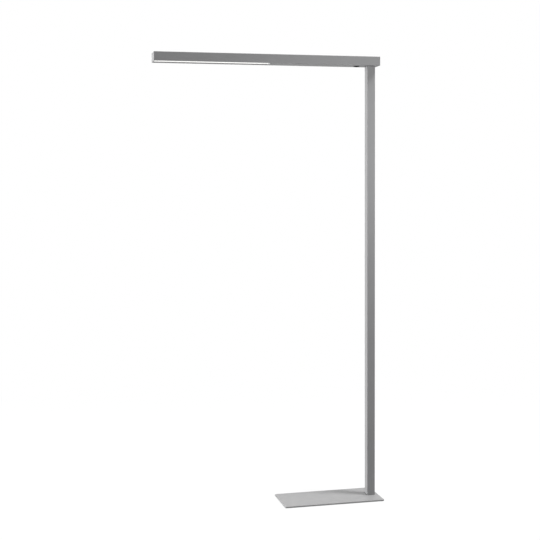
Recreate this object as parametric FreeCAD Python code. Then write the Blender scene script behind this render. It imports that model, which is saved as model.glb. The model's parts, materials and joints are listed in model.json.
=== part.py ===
import FreeCAD, Part
import math
import os

# Office floor lamp: a flat rectangular base, a slim square column at its right end and a long
# flat head that reaches to the left.  The head is an H-shaped extrusion.  Its left half lights
# the desk through a recessed diffuser, and its top lights the ceiling through a flush cover.
# The right half of its underside is a flush cover over the driver, with a push button beside
# the column.
#
# Millimetres.  +Z is up, +X runs along the head towards the column, -Y is the front.  The
# origin lies on the floor under the middle of the lamp's outline.

V = FreeCAD.Vector

# ---- Whole lamp ----
LAMP_HEIGHT = 1950.0
COLUMN_INSET = 33.5             # column axis to the right ends of the head and the base

# ---- Base ----
BASE_LENGTH = 450.0
BASE_WIDTH = 205.0
BASE_THICKNESS = 6.0
BASE_CORNER_R = 6.0
BASE_EDGE_CHAMFER = 0.6
PAD_SIDE = 24.0
PAD_THICKNESS = 1.5
PAD_INSET = 24.0                # pad centre to the plate's edges

# ---- Column ----
COLUMN_SIDE = 36.0
COLUMN_WALL = 2.0
COLUMN_CORNER_R = 1.5
PORT_R = 2.25                   # bore of the four screw ports in the corners
PORT_WALL = 1.5
PORT_WEB = 0.5                  # metal left between a port's bore and the wall's inner face
GASKET_THICKNESS = 1.5
GASKET_INSET = 0.5

# ---- Column screws ----
COLUMN_SCREW_HEAD_R = 4.6
COLUMN_SCREW_HEAD_HEIGHT = 2.8
COLUMN_SCREW_GRIP = 16.0        # thread length inside a port
SOCKET_FLATS = 1.3              # hexagon socket of a flat-headed screw, in shank radii
SCREW_SIDES = 12                # screws and their holes are faceted: they repeat and are small

# ---- Cord gland on the column's rear face ----
GLAND_HEIGHT = 40.0             # bore axis above the floor
GLAND_BORE_R = 3.75
GLAND_THREAD_R = 6.0
GLAND_FLANGE_FLATS = 17.0
GLAND_FLANGE = 2.0
GLAND_COLLAR_R = 6.6
GLAND_COLLAR = 5.0
GLAND_NUT_FLATS = 15.0
GLAND_NUT = 4.0
GLAND_TAIL = 1.0                # thread past the nut
GLAND_BEVEL = 1.0

# ---- Connector inside the column's foot ----
BRACKET_WIDTH = 16.0
BRACKET_THICKNESS = 2.5
BRACKET_FOOT = 19.0
BRACKET_SCREW_R = 1.9
BRACKET_SCREW_HEAD_R = 3.7
CONNECTOR_DEPTH = 12.0
CONNECTOR_HEIGHT = 30.0
CONNECTOR_ABOVE_GLAND = 24.0    # gland axis to the connector's lower end: room for the bend
CONNECTOR_SCREW_R = 1.2
CONNECTOR_SCREW_HEAD_R = 2.6
CONNECTOR_SCREW_HEAD_HEIGHT = 1.2

# ---- Head extrusion ----
HEAD_LENGTH = 985.0
HEAD_WIDTH = 80.0
HEAD_WALL = 2.0
HEAD_WEB = 2.0
HEAD_EDGE_R = 0.8
UPPER_CHANNEL = 12.0            # web to the head's top
RIB_DEPTH = 2.0
RIB_THICKNESS = 1.2
BOSS_R = 1.6                    # bore of the two end screw bosses
BOSS_WALL = 1.7
CAP_THICKNESS = 2.0
CAP_LIP = 2.0
CAP_LIP_WIDTH = 50.0
CAP_SCREW_HEAD_R = 3.2
CAP_SCREW_LENGTH = 13.0

# ---- Covers and diffuser ----
COVER_SKIN = 2.0
COVER_LEG = 1.4
COVER_HOOK = 1.4
DIFFUSER_THICKNESS = 2.0
DIFFUSER_RECESS = 5.0

# ---- Light boards ----
BOARD_WIDTH = 44.0
BOARD_THICKNESS = 1.6
BOARD_END_GAP = 10.0
LED_LENGTH = 3.5
LED_WIDTH = 2.8
LED_HEIGHT = 0.8
LED_PITCH = 25.0
BOARD_PLUG_LENGTH = 8.0
BOARD_PLUG_WIDTH = 7.0
BOARD_PLUG_HEIGHT = 5.0
UPLIGHT_BEND = 20.0             # web hole to the uplight board: room for its lead to bend

# ---- Driver and terminal block ----
DRIVER_LENGTH = 260.0
DRIVER_WIDTH = 30.0
DRIVER_HEIGHT = 17.0
DRIVER_CHAMFER = 2.0
DRIVER_EAR = 11.0
DRIVER_EAR_WIDTH = 22.0
DRIVER_EAR_THICKNESS = 2.0
DRIVER_FROM_COVER_END = 26.0
DRIVER_FROM_TERMINAL = 52.0
DRIVER_PLUG_ROW = 9.0           # side leads to the head's middle at the driver's ends
TERMINAL_LENGTH = 30.0
TERMINAL_WIDTH = 20.0
TERMINAL_HEIGHT = 14.0
TERMINAL_FROM_CONTROL = 37.0    # control axis to the block's middle
TERMINAL_WELL_SIDE = 3.6
TERMINAL_WELL = 4.0
TERMINAL_POLES = 3
INNER_SCREW_R = 1.5
INNER_SCREW_HEAD_R = 3.2
INNER_SCREW_HEAD_HEIGHT = 2.0

# ---- Saddle over the column ----
SADDLE_MARGIN_X = 2.0
SADDLE_MARGIN_Y = 4.0
LEAD_HOLE_R = 8.0

# ---- Push button ----
CONTROL_FROM_COLUMN = 62.0
BEZEL_R = 12.25
BEZEL_PROUD = 3.0
BEZEL_EDGE = 0.9
BARREL_R = 8.0
BARREL_TOP = 13.0               # barrel's end above the head's underside
BARREL_WALL = 1.7
BUTTON_R = 4.5
BUTTON_PROUD = 1.8              # button's face below the bezel's
BUTTON_BEVEL = 0.8
BUTTON_SHOULDER = 1.0           # bezel's inner shoulder above the head's underside
BUTTON_COLLAR = 1.5
BUTTON_POST_FLATS = 3.0
BUTTON_TRAVEL = 1.5
SWITCH_SIDE = 6.0
SWITCH_HEIGHT = 3.5
PLUNGER_R = 1.5
PLUNGER_INSIDE = 1.6            # plunger inside the switch at rest
CONTROL_NUT_FLATS = 21.0
CONTROL_NUT = 3.0
CONTROL_BOARD_R = 9.5
CONTROL_PLUG_LENGTH = 5.0
CONTROL_PLUG_WIDTH = 4.0
CONTROL_PLUG_HEIGHT = 3.0
CONTROL_PLUG_ROW = 7.0

# ---- Leads ----
MAINS_LEAD_R = 3.25
MAINS_BEND_R = 32.0
MAINS_EASE = 90.0               # height over which the mains lead moves to the column's axis
INPUT_LEAD_R = 2.6
SIDE_LEAD_R = 1.5
RUN_SHARE = 0.45                # part of a lead's straight run that an arc may take
LEAD_SIDES = 6                  # the hidden leads are faceted too
CLIP_WALL = 1.4
CLIP_SILL = 0.9                 # below the lead, where the push button's board comes near
CLIP_LENGTH = 8.0
CLIP_FROM_CONTROL = 17.0
WEB_HOLE_R = 4.0                # uplight lead's way through the web

# ---- Clearances ----
SEAT = 0.1                      # between pieces that slide or hook together
SLIDE = 0.3                     # around moving pieces and loose-fitting sheets
THREAD = 0.05                   # between a screw and the bore that it cuts into
SCREW_CLEARANCE = 0.4           # around a screw in a plain hole
ROUTE = 1.45                    # above and below the mains lead inside the head
SIDE_ROUTE = 3.0                # between the terminal block and the leads beside it
SCREW_STOP = 0.2                # screw tip to the far side of the web

# ---- Levels ----
plate_bottom = PAD_THICKNESS
plate_top = plate_bottom + BASE_THICKNESS
column_bottom = plate_top + GASKET_THICKNESS
control_top = BARREL_TOP + BOARD_THICKNESS
lower_channel = control_top + 2 * ROUTE + 2 * MAINS_LEAD_R
head_height = lower_channel + HEAD_WEB + UPPER_CHANNEL
head_bottom = LAMP_HEIGHT - head_height
web_bottom = head_bottom + lower_channel
web_top = web_bottom + HEAD_WEB
column_top = head_bottom - GASKET_THICKNESS
lead_level = web_bottom - ROUTE - MAINS_LEAD_R
driver_bottom = web_bottom - DRIVER_HEIGHT
driver_plug_level = web_bottom - DRIVER_HEIGHT / 2

# ---- Positions along the head ----
head_right = HEAD_LENGTH / 2
head_left = -head_right
profile_left = head_left + CAP_THICKNESS
profile_right = head_right - CAP_THICKNESS
column_x = head_right - COLUMN_INSET
control_x = column_x - CONTROL_FROM_COLUMN
terminal_x = control_x - TERMINAL_FROM_CONTROL
terminal_left = terminal_x - TERMINAL_LENGTH / 2
terminal_right = terminal_x + TERMINAL_LENGTH / 2
driver_right = terminal_left - DRIVER_FROM_TERMINAL
driver_left = driver_right - DRIVER_LENGTH
cover_left = driver_left - DRIVER_FROM_COVER_END
diffuser_right = cover_left - SLIDE

# ---- Positions across ----
head_half = HEAD_WIDTH / 2
channel_half = head_half - HEAD_WALL
rib_half = channel_half - RIB_DEPTH
boss_outer_r = BOSS_R + BOSS_WALL
boss_y = channel_half - boss_outer_r
column_half = COLUMN_SIDE / 2
column_hollow = column_half - COLUMN_WALL
port_offset = column_hollow - PORT_WEB - PORT_R
side_lead_y = TERMINAL_WIDTH / 2 + SIDE_ROUTE + SIDE_LEAD_R

# ---- Ribs inside the head, measured up from its underside ----
seat_rib_top = DIFFUSER_RECESS
seat_rib_bottom = seat_rib_top - RIB_THICKNESS
keeper_rib_bottom = seat_rib_top + DIFFUSER_THICKNESS + SEAT
keeper_rib_top = keeper_rib_bottom + RIB_THICKNESS
top_rib_top = head_height - COVER_SKIN
top_rib_bottom = top_rib_top - RIB_THICKNESS

# ---- Screws ----
column_screw_r = PORT_R - THREAD
column_screw_hole_r = column_screw_r + SCREW_CLEARANCE
cap_screw_r = BOSS_R - THREAD
web_hole_x = column_x - column_half - SADDLE_MARGIN_X - WEB_HOLE_R - ROUTE
up_board_right = web_hole_x - UPLIGHT_BEND


def box(x0, x1, y0, y1, z0, z1):
    return Part.makeBox(x1 - x0, y1 - y0, z1 - z0, V(x0, y0, z0))


def rod(radius, start, end):
    run = end.sub(start)
    return Part.makeCylinder(radius, run.Length, start, run)


def outline(corners, place):
    """A closed wire through corners (a, b, radius), with an arc wherever the radius isn't 0.
    place turns a and b into a point."""
    entries = []
    exits = []
    edges = []
    count = len(corners)
    for i, (a, b, radius) in enumerate(corners):
        corner = V(a, b, 0)
        back = V(*corners[i - 1][:2], 0).sub(corner).normalize()
        ahead = V(*corners[(i + 1) % count][:2], 0).sub(corner).normalize()
        if radius == 0:
            entries.append(corner)
            exits.append(corner)
            continue
        half = back.getAngle(ahead) / 2
        cut = radius / math.tan(half)
        middle = back.add(ahead).normalize()
        entries.append(corner.add(back.multiply(cut)))
        exits.append(corner.add(ahead.multiply(cut)))
        nearest = corner.add(middle.multiply(radius / math.sin(half) - radius))
        on_arc = [entries[-1], nearest, exits[-1]]
        edges.append(Part.Arc(*[place(p.x, p.y) for p in on_arc]).toShape())
    for i in range(count):
        start = place(exits[i].x, exits[i].y)
        end = place(entries[(i + 1) % count].x, entries[(i + 1) % count].y)
        edges.append(Part.LineSegment(start, end).toShape())
    return Part.Wire(Part.__sortEdges__(edges))


def along_x(corners, x0, x1):
    """A prism along X whose section has corners (y, height above the head's underside)."""
    wire = outline(corners, lambda a, b: V(x0, a, head_bottom + b))
    return Part.Face(wire).extrude(V(x1 - x0, 0, 0))


def square(half_x, half_y, radius):
    sides = [(-1, -1), (1, -1), (1, 1), (-1, 1)]
    return [(half_x * sx, half_y * sy, radius) for sx, sy in sides]


def upright(corners, centre_x, z0, z1):
    """A prism along Z with the section's middle over centre_x."""
    wire = outline(corners, lambda a, b: V(centre_x + a, b, z0))
    return Part.Face(wire).extrude(V(0, 0, z1 - z0))


def revolved(points, start, direction):
    """A turned piece: points (radius, height) go round the axis that leaves start."""
    ring = Part.makePolygon([V(r, 0, h) for r, h in points + points[:1]])
    solid = Part.Face(ring).revolve(V(0, 0, 0), V(0, 0, 1), 360)
    solid.Placement = FreeCAD.Placement(start, FreeCAD.Rotation(V(0, 0, 1), direction))
    return solid


def faceted(points, start, direction):
    """A turned piece like revolved(), but with flat sides: for small pieces that repeat."""
    rings = []
    for i in range(SCREW_SIDES + 1):
        turn = 2 * math.pi * i / SCREW_SIDES
        rings.append([V(r * math.cos(turn), r * math.sin(turn), h) for r, h in points])
    faces = []
    for ring, following in zip(rings, rings[1:]):
        for i in range(len(points) - 1):
            corners = [ring[i], ring[i + 1], following[i + 1], following[i]]
            distinct = [p for k, p in enumerate(corners) if p.sub(corners[k - 1]).Length > THREAD]
            if len(distinct) > 2:
                faces.append(Part.Face(Part.makePolygon(distinct + distinct[:1])))
    solid = Part.makeSolid(Part.makeShell(faces)).removeSplitter()
    solid.Placement = FreeCAD.Placement(start, FreeCAD.Rotation(V(0, 0, 1), direction))
    return solid


def flat_sided(radius, start, end):
    """A rod with the screws' flat sides: their holes and bosses, and hidden round pieces."""
    run = end.sub(start)
    return faceted([(0, 0), (radius, 0), (radius, run.Length), (0, run.Length)], start, run)


def hexagon(flats, height, start, direction):
    corner_r = flats / 2 / math.cos(math.pi / 6)
    turns = [math.radians(60 * i) for i in range(7)]
    ring = Part.makePolygon([V(corner_r * math.cos(t), corner_r * math.sin(t), 0) for t in turns])
    solid = Part.Face(ring).extrude(V(0, 0, height))
    solid.Placement = FreeCAD.Placement(start, FreeCAD.Rotation(V(0, 0, 1), direction))
    return solid


def countersunk_screw(start, direction, length, shank_r, head_r):
    """A flat-headed screw whose face lies at start and whose length runs along direction."""
    cone = head_r - shank_r
    socket = SOCKET_FLATS * shank_r
    body = faceted([(0, 0), (head_r, 0), (shank_r, cone), (shank_r, length), (0, length)],
                   start, direction)
    return body.cut(hexagon(socket, cone, start, direction))


def countersink(start, direction, depth, hole_r, head_r):
    """The room for such a screw: its cone, and a hole of hole_r for its shank."""
    cone = head_r - hole_r
    points = [(0, -SEAT), (head_r, -SEAT), (head_r, 0), (hole_r, cone), (hole_r, depth), (0, depth)]
    return faceted(points, start, direction)


def pan_screw(seat, direction, length, shank_r, head_r, head_height):
    """A raised-head screw: the head stands on the seat and the shank runs along direction."""
    body = faceted([(0, -head_height), (head_r, -head_height), (head_r, 0), (shank_r, 0),
                    (shank_r, length), (0, length)], seat, direction)
    top = seat.sub(V(direction).normalize().multiply(head_height))
    return body.cut(hexagon(head_r, head_height / 2, top, direction))


def lead(points, radius, limits={}):
    """A round lead along straight runs joined by tangent arcs.  Each arc is as large as its
    two runs leave room for, up to the radius that limits gives for its point."""
    edges = []
    at = points[0]
    for i in range(1, len(points) - 1):
        back = points[i - 1].sub(points[i])
        ahead = points[i + 1].sub(points[i])
        half_turn = (math.pi - back.getAngle(ahead)) / 2
        room = RUN_SHARE * min(back.Length, ahead.Length) / math.tan(half_turn)
        bend = min(room, limits.get(i, room))
        cut = bend * math.tan(half_turn)
        back.normalize()
        ahead.normalize()
        middle = back.add(ahead).normalize()
        start = points[i].add(V(back).multiply(cut))
        end = points[i].add(V(ahead).multiply(cut))
        nearest = points[i].add(middle.multiply(bend / math.cos(half_turn) - bend))
        edges.append(Part.LineSegment(at, start).toShape())
        edges.append(Part.Arc(start, nearest, end).toShape())
        at = end
        print("  bend radius %.1f" % bend)
    edges.append(Part.LineSegment(at, points[-1]).toShape())
    spine = Part.Wire(edges)
    turn = FreeCAD.Rotation(V(0, 0, 1), points[1].sub(points[0]))
    section = []
    for i in range(LEAD_SIDES + 1):
        angle = 2 * math.pi * i / LEAD_SIDES
        spoke = V(radius * math.cos(angle), radius * math.sin(angle), 0)
        section.append(points[0].add(turn.multVec(spoke)))
    outline_wire = Part.makePolygon(section)
    tube = spine.makePipeShell([outline_wire], True, False)
    print("  lead of %.0f mm, %.3f of its section times its length"
          % (spine.Length, tube.Volume / (Part.Face(outline_wire).Area * spine.Length)))
    return tube


def save(name, *solids):
    shape = solids[0] if len(solids) == 1 else Part.makeCompound(list(solids))
    shape.exportStep("parts/%s.step" % name)
    print("%-22s %2d solid(s)" % (name, len(shape.Solids)))


def port_places():
    sides = [(-1, -1), (1, -1), (1, 1), (-1, 1)]
    return [(column_x + sx * port_offset, sy * port_offset) for sx, sy in sides]


def pad_places():
    columns = (head_right - BASE_LENGTH + PAD_INSET, head_right - PAD_INSET)
    row = BASE_WIDTH / 2 - PAD_INSET
    return [(x, side * row) for x in columns for side in (-1, 1)]


# ======== Base ========

bracket_back = -column_hollow + SLIDE
bracket_front = bracket_back + BRACKET_THICKNESS
bracket_screw_y = bracket_back + BRACKET_FOOT - BRACKET_SCREW_HEAD_R - SCREW_CLEARANCE
bracket_screw_hole_r = BRACKET_SCREW_R + SCREW_CLEARANCE


def base_plate():
    """Steel plate with softened upper edges.  The column's screws and the bracket's come up
    through countersunk holes."""
    middle = head_right - BASE_LENGTH / 2
    corners = square(BASE_LENGTH / 2, BASE_WIDTH / 2, BASE_CORNER_R)
    plate = upright(corners, middle, plate_bottom, plate_top)
    rim = [e for e in plate.Edges if e.BoundBox.ZMin > plate_top - BASE_EDGE_CHAMFER]
    plate = plate.makeChamfer(BASE_EDGE_CHAMFER, rim)
    up = V(0, 0, 1)
    for x, y in port_places():
        start = V(x, y, plate_bottom)
        head_r = COLUMN_SCREW_HEAD_R + SEAT
        plate = plate.cut(countersink(start, up, BASE_THICKNESS + SEAT, column_screw_hole_r, head_r))
    start = V(column_x, bracket_screw_y, plate_bottom)
    head_r = BRACKET_SCREW_HEAD_R + SEAT
    plate = plate.cut(countersink(start, up, BASE_THICKNESS + SEAT, bracket_screw_hole_r, head_r))
    return plate


def base_pads():
    half = PAD_SIDE / 2
    return [box(x - half, x + half, y - half, y + half, 0, plate_bottom) for x, y in pad_places()]


def foot_screws():
    length = BASE_THICKNESS + GASKET_THICKNESS + COLUMN_SCREW_GRIP
    return [countersunk_screw(V(x, y, plate_bottom), V(0, 0, 1), length,
                              column_screw_r, COLUMN_SCREW_HEAD_R) for x, y in port_places()]


save("base_plate", base_plate())
save("base_pads", *base_pads())
save("foot_screws", *foot_screws())


# ======== Column ========


def column_tube(z0, z1, inset):
    """A stretch of the column's square tube, its outside drawn in by inset."""
    half = column_half - inset
    outside = upright(square(half, half, COLUMN_CORNER_R), column_x, z0, z1)
    return outside.cut(upright(square(column_hollow, column_hollow, 0), column_x, z0, z1))


def column_profile():
    """Square extrusion with a screw port in each corner, and the gland's hole at its foot."""
    column = column_tube(column_bottom, column_top, 0)
    outside = upright(square(column_half, column_half, COLUMN_CORNER_R), column_x,
                      column_bottom, column_top)
    for x, y in port_places():
        low = V(x, y, column_bottom)
        port = flat_sided(PORT_R + PORT_WALL, low, V(x, y, column_top))
        column = column.fuse(port.common(outside))
    for x, y in port_places():
        column = column.cut(flat_sided(PORT_R, V(x, y, column_bottom), V(x, y, column_top)))
    inner = V(column_x, column_hollow - SEAT, GLAND_HEIGHT)
    outer = V(column_x, column_half + SEAT, GLAND_HEIGHT)
    return column.cut(rod(GLAND_THREAD_R + SEAT, inner, outer)).removeSplitter()


def foot_gasket():
    return column_tube(plate_top, column_bottom, GASKET_INSET)


def top_gasket():
    return column_tube(column_top, head_bottom, GASKET_INSET)


gland_inner = column_hollow - GLAND_NUT - GLAND_TAIL
gland_outer = column_half + GLAND_FLANGE + GLAND_COLLAR


def cord_gland():
    """Black bushing for the mains cord: a hexagonal flange and a bevelled collar outside the
    column, and a threaded neck through its wall."""
    points = [(GLAND_BORE_R, gland_inner), (GLAND_THREAD_R, gland_inner),
              (GLAND_THREAD_R, column_half), (GLAND_COLLAR_R, column_half),
              (GLAND_COLLAR_R, gland_outer - GLAND_BEVEL),
              (GLAND_COLLAR_R - GLAND_BEVEL, gland_outer), (GLAND_BORE_R, gland_outer)]
    bushing = revolved(points, V(column_x, 0, GLAND_HEIGHT), V(0, 1, 0))
    start = V(column_x, column_half, GLAND_HEIGHT)
    flange = hexagon(GLAND_FLANGE_FLATS, GLAND_FLANGE, start, V(0, 1, 0))
    middle = rod(GLAND_THREAD_R, start, start.add(V(0, GLAND_FLANGE, 0)))
    return bushing.fuse(flange.cut(middle)).removeSplitter()


def gland_nut():
    start = V(column_x, column_hollow - GLAND_NUT, GLAND_HEIGHT)
    nut = hexagon(GLAND_NUT_FLATS, GLAND_NUT, start, V(0, 1, 0))
    return nut.cut(rod(GLAND_THREAD_R + THREAD, start, V(column_x, column_hollow, GLAND_HEIGHT)))


save("column_profile", column_profile())
save("foot_gasket", foot_gasket())
save("top_gasket", top_gasket())
save("cord_gland", cord_gland())
save("gland_nut", gland_nut())


# ======== Connector in the column's foot ========

connector_bottom = GLAND_HEIGHT + CONNECTOR_ABOVE_GLAND
connector_top = connector_bottom + CONNECTOR_HEIGHT
connector_y = bracket_front + CONNECTOR_DEPTH / 2
connector_screw_level = connector_bottom + CONNECTOR_HEIGHT / 2


def connector_bracket():
    """An angle that stands on the plate inside the column and carries the connector, so that
    both pull out of the column with the base."""
    left = column_x - BRACKET_WIDTH / 2
    right = column_x + BRACKET_WIDTH / 2
    foot = box(left, right, bracket_back, bracket_back + BRACKET_FOOT,
               plate_top, plate_top + BRACKET_THICKNESS)
    stem = box(left, right, bracket_back, bracket_front, plate_top, connector_top)
    start = V(column_x, bracket_screw_y, plate_top - SEAT)
    end = V(column_x, bracket_screw_y, plate_top + BRACKET_THICKNESS + SEAT)
    bracket = foot.fuse(stem).removeSplitter().cut(flat_sided(BRACKET_SCREW_R + THREAD, start, end))
    rear = V(column_x, bracket_front, connector_screw_level)
    back = V(column_x, bracket_back, connector_screw_level)
    return bracket.cut(flat_sided(CONNECTOR_SCREW_R + THREAD, back, rear))


def bracket_screw():
    start = V(column_x, bracket_screw_y, plate_bottom)
    length = BASE_THICKNESS + BRACKET_THICKNESS
    return countersunk_screw(start, V(0, 0, 1), length, BRACKET_SCREW_R, BRACKET_SCREW_HEAD_R)


def well(x, y, bottom):
    """A wire's or clamp screw's square mouth in the underside of a connector."""
    half = TERMINAL_WELL_SIDE / 2
    return box(x - half, x + half, y - half, y + half, bottom, bottom + TERMINAL_WELL)


def foot_connector():
    """Three-pole connector.  The cord's wires enter its lower end, and the lead to the head
    starts at its upper end."""
    half = BRACKET_WIDTH / 2
    back = bracket_front + CONNECTOR_DEPTH
    body = box(column_x - half, column_x + half, bracket_front, back, connector_bottom, connector_top)
    pole_step = BRACKET_WIDTH / TERMINAL_POLES
    for pole in range(TERMINAL_POLES):
        x = column_x + (pole - (TERMINAL_POLES - 1) / 2) * pole_step
        body = body.cut(well(x, connector_y, connector_bottom))
    front = V(column_x, bracket_front, connector_screw_level)
    rear = V(column_x, back, connector_screw_level)
    return body.cut(flat_sided(CONNECTOR_SCREW_R + SCREW_CLEARANCE, front, rear))


def connector_screw():
    seat = V(column_x, bracket_front + CONNECTOR_DEPTH, connector_screw_level)
    return pan_screw(seat, V(0, -1, 0), CONNECTOR_DEPTH + BRACKET_THICKNESS, CONNECTOR_SCREW_R,
                     CONNECTOR_SCREW_HEAD_R, CONNECTOR_SCREW_HEAD_HEIGHT)


def mains_lead():
    """The lead that the lamp holds all the way: up the column's middle, round into the head
    above the push button, and to the terminal block."""
    ease_start = connector_top + MAINS_EASE / 2
    ease_end = ease_start + MAINS_EASE
    points = [V(column_x, connector_y, connector_top), V(column_x, connector_y, ease_start),
              V(column_x, 0, ease_end), V(column_x, 0, lead_level),
              V(terminal_right, 0, lead_level)]
    return lead(points, MAINS_LEAD_R, {3: MAINS_BEND_R})


save("connector_bracket", connector_bracket())
save("bracket_screw", bracket_screw())
save("foot_connector", foot_connector())
save("connector_screw", connector_screw())
save("mains_lead", mains_lead())


# ======== Head extrusion and its ends ========


def mirrored(half):
    """Corners of a whole section from those of its right half, listed round from the middle."""
    left = [(-a, b, radius) for a, b, radius in reversed(half) if a > 0]
    return half + left


def head_section():
    """H-shaped section: two walls and a web, with a rib under each cover's hook, and a seat
    and a keeper rib that hold the diffuser's edge."""
    wall = channel_half
    rib = rib_half
    web_low = lower_channel
    web_high = lower_channel + HEAD_WEB
    ribs = [(keeper_rib_top, keeper_rib_bottom), (seat_rib_top, seat_rib_bottom)]
    half = [(0, web_low, 0), (wall, web_low, 0)]
    for high, low in ribs:
        half += [(wall, high, 0), (rib, high, 0), (rib, low, 0), (wall, low, 0)]
    half += [(wall, 0, 0), (head_half, 0, HEAD_EDGE_R), (head_half, head_height, HEAD_EDGE_R),
             (wall, head_height, 0)]
    half += [(wall, top_rib_top, 0), (rib, top_rib_top, 0), (rib, top_rib_bottom, 0),
             (wall, top_rib_bottom, 0), (wall, web_high, 0), (0, web_high, 0)]
    return mirrored(half)


def boss_places():
    return [(side * boss_y, (web_bottom + web_top) / 2) for side in (-1, 1)]


def web_hole(make, x, y, radius):
    return make(radius, V(x, y, web_bottom - SEAT), V(x, y, web_top + SEAT))


def head_profile():
    profile = along_x(head_section(), profile_left, profile_right)
    for y, z in boss_places():
        profile = profile.fuse(flat_sided(boss_outer_r, V(profile_left, y, z), V(profile_right, y, z)))
    for y, z in boss_places():
        profile = profile.cut(flat_sided(BOSS_R, V(profile_left, y, z), V(profile_right, y, z)))
    for x, y in port_places():
        profile = profile.cut(web_hole(flat_sided, x, y, column_screw_hole_r))
    profile = profile.cut(web_hole(rod, web_hole_x, -side_lead_y, WEB_HOLE_R))
    for x, y in driver_screw_places() + [(terminal_x, 0)]:
        profile = profile.cut(web_hole(flat_sided, x, y, INNER_SCREW_R + THREAD))
    return profile.removeSplitter()


def end_cap(outer_x, inward):
    """Flat end plate with two locating pads that reach into the channels."""
    plate_inner = outer_x + inward * CAP_THICKNESS
    corners = [(-head_half, 0, HEAD_EDGE_R), (head_half, 0, HEAD_EDGE_R),
               (head_half, head_height, HEAD_EDGE_R), (-head_half, head_height, HEAD_EDGE_R)]
    cap = along_x(corners, outer_x, plate_inner)
    half = CAP_LIP_WIDTH / 2
    low = keeper_rib_top
    high = lower_channel + HEAD_WEB
    pads = [(low, lower_channel - BOARD_THICKNESS), (high + BOARD_THICKNESS, top_rib_bottom - COVER_HOOK)]
    for bottom, top in pads:
        pad = [(-half, bottom, 0), (half, bottom, 0), (half, top, 0), (-half, top, 0)]
        cap = cap.fuse(along_x(pad, plate_inner, plate_inner + inward * CAP_LIP))
    for y, z in boss_places():
        hole = countersink(V(outer_x, y, z), V(inward, 0, 0), CAP_THICKNESS + SEAT,
                           cap_screw_r + SCREW_CLEARANCE, CAP_SCREW_HEAD_R + SEAT)
        cap = cap.cut(hole)
    return cap.removeSplitter()


def end_cap_screws():
    screws = []
    for outer_x, inward in ((head_left, 1), (head_right, -1)):
        for y, z in boss_places():
            screws.append(countersunk_screw(V(outer_x, y, z), V(inward, 0, 0), CAP_SCREW_LENGTH,
                                            cap_screw_r, CAP_SCREW_HEAD_R))
    return screws


# ======== Covers and diffuser ========


def cover_section(rib_near, rib_far):
    """Half of a flush cover's section, heights measured from its outer face: a skin, an edge
    that bears on the rib at rib_near, and a leg whose hook goes over the rib at rib_far."""
    edge = channel_half - SLIDE
    leg_outer = rib_half - SLIDE
    leg_inner = leg_outer - COVER_LEG
    hook_near = rib_far + SEAT
    hook_far = hook_near + COVER_HOOK
    bearing = rib_near - SEAT if rib_near > COVER_SKIN else rib_near
    return [(0, 0, 0), (edge, 0, 0), (edge, bearing, 0), (leg_outer, bearing, 0),
            (leg_outer, hook_near, 0), (edge, hook_near, 0), (edge, hook_far, 0),
            (leg_inner, hook_far, 0), (leg_inner, COVER_SKIN, 0), (0, COVER_SKIN, 0)]


def underside_cover():
    """Flush cover under the right half of the head.  A lip closes its left end against the
    recessed diffuser, and its holes pass the column's screws, the lead and the button."""
    right = profile_right - SEAT
    cover = along_x(mirrored(cover_section(seat_rib_bottom, seat_rib_top)), cover_left, right)
    half = rib_half - SLIDE - COVER_LEG
    lip_top = seat_rib_top + SEAT + COVER_HOOK
    lip = [(-half, COVER_SKIN, 0), (half, COVER_SKIN, 0), (half, lip_top, 0), (-half, lip_top, 0)]
    cover = cover.fuse(along_x(lip, cover_left, cover_left + COVER_SKIN)).removeSplitter()
    holes = [(flat_sided, x, y, column_screw_hole_r) for x, y in port_places()]
    holes += [(rod, column_x, 0, LEAD_HOLE_R), (rod, control_x, 0, BARREL_R + SEAT)]
    for make, x, y, radius in holes:
        low = V(x, y, head_bottom - SEAT)
        cover = cover.cut(make(radius, low, V(x, y, head_bottom + COVER_SKIN + SEAT)))
    return cover


def top_cover():
    """Satin cover over the whole top, with the same hooks, turned over."""
    half = cover_section(COVER_SKIN, COVER_SKIN + RIB_THICKNESS)
    turned = [(a, head_height - b, radius) for a, b, radius in half]
    return along_x(mirrored(turned), profile_left + SEAT, profile_right - SEAT)


def down_diffuser():
    half = channel_half - SLIDE
    top = seat_rib_top + DIFFUSER_THICKNESS
    corners = [(-half, seat_rib_top, 0), (half, seat_rib_top, 0), (half, top, 0), (-half, top, 0)]
    return along_x(corners, profile_left + SEAT, diffuser_right)


# ======== Light boards ========

down_board_left = profile_left + BOARD_END_GAP
down_board_right = diffuser_right - BOARD_END_GAP
up_board_left = down_board_left


def spread(left, right, count):
    step = (right - left) / count
    return [left + step * (i + 0.5) for i in range(count)]


def led_board(left, right, seat, away, plug_y):
    """Circuit board stuck to the web's face at seat, with its plug at its right end.  away is
    +1 above the web and -1 below it."""
    face = seat + away * BOARD_THICKNESS
    plug_face = face + away * BOARD_PLUG_HEIGHT
    half = BOARD_WIDTH / 2
    board = box(left, right, -half, half, min(seat, face), max(seat, face))
    plug = box(right - BOARD_PLUG_LENGTH, right, plug_y - BOARD_PLUG_WIDTH / 2,
               plug_y + BOARD_PLUG_WIDTH / 2, min(face, plug_face), max(face, plug_face))
    return board.fuse(plug)


def led_row(left, right, face, away):
    count = int((right - left - BOARD_PLUG_LENGTH) / LED_PITCH)
    far = face + away * LED_HEIGHT
    half_x = LED_LENGTH / 2
    half_y = LED_WIDTH / 2
    return [box(x - half_x, x + half_x, -half_y, half_y, min(face, far), max(face, far))
            for x in spread(left, right - BOARD_PLUG_LENGTH, count)]


# ======== Driver, terminal block and saddle ========


def driver_screw_places():
    outer = DRIVER_EAR / 2
    return [(driver_left - outer, 0), (driver_right + outer, 0)]


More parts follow.
